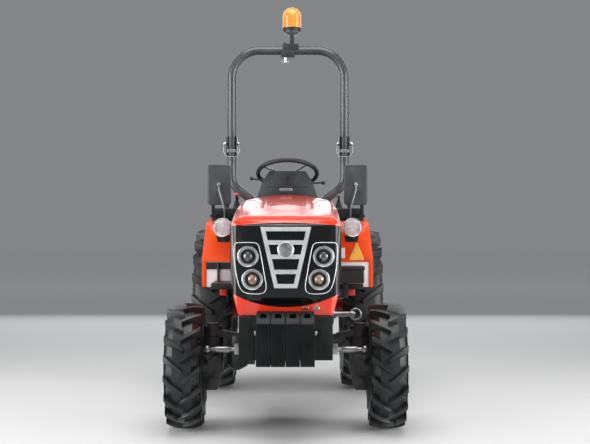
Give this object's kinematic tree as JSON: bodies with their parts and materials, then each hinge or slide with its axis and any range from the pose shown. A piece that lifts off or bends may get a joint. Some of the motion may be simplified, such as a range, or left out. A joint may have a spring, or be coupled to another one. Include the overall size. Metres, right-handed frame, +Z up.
{
  "type": "compact farm tractor",
  "caption": "Compact four-wheel-drive farm tractor with bar-lug tyres, front ballast weights, an opening hood, a folding roll bar with a beacon and a rear linkage.",
  "frame": {"origin": "on the ground, under the middle of the overall box", "axes": "-Y is forward, +X is the tractor's own left, +Z is up; the front axle is at y = -0.790 m and the rear axle at y = 0.760 m"},
  "size_m": [1.168, 2.8199, 2.3623],
  "materials": {
    "front_frame": "rough",
    "front_weights": "rough",
    "front_axle": "rough",
    "steering_cylinder": "satin",
    "tie_rods": "brushed",
    "knuckles": "rough",
    "engine": "rough",
    "exhaust": "satin",
    "gearbox": "rough",
    "rear_axle": "rough",
    "drive_shaft": "satin",
    "hood": "satin",
    "front_fascia": "matte",
    "grille_frame": "polished",
    "head_lamps": "matte",
    "console": "matte",
    "steering_column": "matte",
    "steering_wheel": "matte",
    "floor_plates": "satin",
    "fenders": "satin",
    "fender_plates": "satin",
    "side_consoles": "matte",
    "seat_deck": "satin",
    "seat_cushion": "satin",
    "seat_back": "satin",
    "levers": "satin",
    "pedals": "satin",
    "tool_box": "matte",
    "front_lamps": "matte",
    "mirrors": "matte",
    "grab_rails": "satin",
    "tail_lamps": "gloss",
    "bar_posts": "satin",
    "bar_hoop": "satin",
    "beacon_mount": "satin",
    "beacon_lens": "gloss",
    "lower_links": "satin",
    "link_brackets": "rough",
    "drawbar": "brushed",
    "lift_arms": "satin",
    "rockshaft_case": "rough",
    "lift_rods": "satin",
    "top_link": "brushed",
    "pto_shaft": "brushed",
    "tyres": "matte",
    "rims": "satin"
  },
  "bodies": {
    "chassis": {"front_frame": "front_frame", "front_weights": "front_weights", "front_axle": "front_axle", "steering_cylinder": "steering_cylinder", "engine": "engine", "exhaust": "exhaust", "gearbox": "gearbox", "rear_axle": "rear_axle", "drive_shaft": "drive_shaft", "console": "console", "steering_column": "steering_column", "floor_plates": "floor_plates", "fender_left": "fenders", "fender_right": "fenders", "fender_plates": "fender_plates", "side_consoles": "side_consoles", "seat_deck": "seat_deck", "seat_cushion": "seat_cushion", "seat_back": "seat_back", "levers": "levers", "pedals": "pedals", "tool_box": "tool_box", "front_lamps": "front_lamps", "mirror_left": "mirrors", "mirror_right": "mirrors", "grab_rails": "grab_rails", "tail_lamps": "tail_lamps", "bar_posts": "bar_posts", "link_brackets": "link_brackets", "drawbar": "drawbar", "rockshaft_case": "rockshaft_case", "top_link": "top_link", "pto_shaft": "pto_shaft"},
    "hood": {"hood": "hood", "front_fascia": "front_fascia", "grille_frame": "grille_frame", "head_lamps": "head_lamps"},
    "roll_bar_hoop": {"bar_hoop": "bar_hoop", "beacon_mount": "beacon_mount", "beacon_lens": "beacon_lens"},
    "steering_wheel": {"steering_wheel": "steering_wheel"},
    "knuckle_left": {"knuckle_left": "knuckles"},
    "knuckle_right": {"knuckle_right": "knuckles"},
    "tie_rods": {"tie_rods": "tie_rods"},
    "front_wheel_left": {"front_tyre_left": "tyres", "front_rim_left": "rims"},
    "front_wheel_right": {"front_tyre_right": "tyres", "front_rim_right": "rims"},
    "rear_wheel_left": {"rear_tyre_left": "tyres", "rear_rim_left": "rims"},
    "rear_wheel_right": {"rear_tyre_right": "tyres", "rear_rim_right": "rims"},
    "lower_links": {"lower_links": "lower_links"},
    "lift_arms": {"lift_arms": "lift_arms"},
    "lift_rods": {"lift_rods": "lift_rods"}
  },
  "joints": [
    {"name": "front_wheel_left_turn", "type": "hinge", "parent": "knuckle_left", "child": "front_wheel_left", "pos_m": [0.494, -0.79, 0.30734], "axis": [1, 0, 0], "continuous": true},
    {"name": "front_wheel_right_turn", "type": "hinge", "parent": "knuckle_right", "child": "front_wheel_right", "pos_m": [-0.494, -0.79, 0.30734], "axis": [1, 0, 0], "continuous": true},
    {"name": "rear_wheel_left_turn", "type": "hinge", "parent": "chassis", "child": "rear_wheel_left", "pos_m": [0.446, 0.76, 0.48982], "axis": [1, 0, 0], "continuous": true},
    {"name": "rear_wheel_right_turn", "type": "hinge", "parent": "chassis", "child": "rear_wheel_right", "pos_m": [-0.446, 0.76, 0.48982], "axis": [1, 0, 0], "continuous": true},
    {"name": "steer_left", "type": "hinge", "parent": "chassis", "child": "knuckle_left", "pos_m": [0.362, -0.79, 0.4], "axis": [0, 0, 1], "range_deg": [-36, 36]},
    {"name": "steer_right", "type": "hinge", "parent": "chassis", "child": "knuckle_right", "pos_m": [-0.362, -0.79, 0.4], "axis": [0, 0, 1], "range_deg": [-36, 36]},
    {"name": "tie_rod_slide", "type": "slide", "parent": "chassis", "child": "tie_rods", "axis": [1, 0, 0], "range_m": [-0.076, 0.076]},
    {"name": "steering_wheel_turn", "type": "hinge", "parent": "chassis", "child": "steering_wheel", "pos_m": [0, 0.16, 1.296], "axis": [0, 0.4067, 0.9135], "range_deg": [-490, 490]},
    {"name": "hood_open", "type": "hinge", "parent": "chassis", "child": "hood", "pos_m": [0, -0.054, 1.118], "axis": [-1, 0, 0], "range_deg": [0, 50]},
    {"name": "roll_bar_fold", "type": "hinge", "parent": "chassis", "child": "roll_bar_hoop", "pos_m": [0, 0.81, 1.508], "axis": [-1, 0, 0], "range_deg": [0, 110]},
    {"name": "lift_arms_raise", "type": "hinge", "parent": "chassis", "child": "lift_arms", "pos_m": [0, 0.8, 0.75982], "axis": [1, 0, 0], "range_deg": [-30, 35]},
    {"name": "lower_links_swing", "type": "hinge", "parent": "chassis", "child": "lower_links", "pos_m": [0, 0.7, 0.32982], "axis": [1, 0, 0], "range_deg": [-15, 18]},
    {"name": "lift_rods_swing", "type": "hinge", "parent": "lift_arms", "child": "lift_rods", "pos_m": [0, 1.03, 0.79982], "axis": [1, 0, 0], "range_deg": [-35, 30]}
  ],
  "couplings": [
    {"joint": "steer_right", "follows": "steer_left", "ratio": 1},
    {"joint": "tie_rod_slide", "follows": "steer_left", "m_per_rad": 0.12},
    {"joint": "steering_wheel_turn", "follows": "steer_left", "ratio": 13.5},
    {"joint": "lower_links_swing", "follows": "lift_arms_raise", "ratio": 0.49},
    {"joint": "lift_rods_swing", "follows": "lift_arms_raise", "ratio": -0.98}
  ]
}
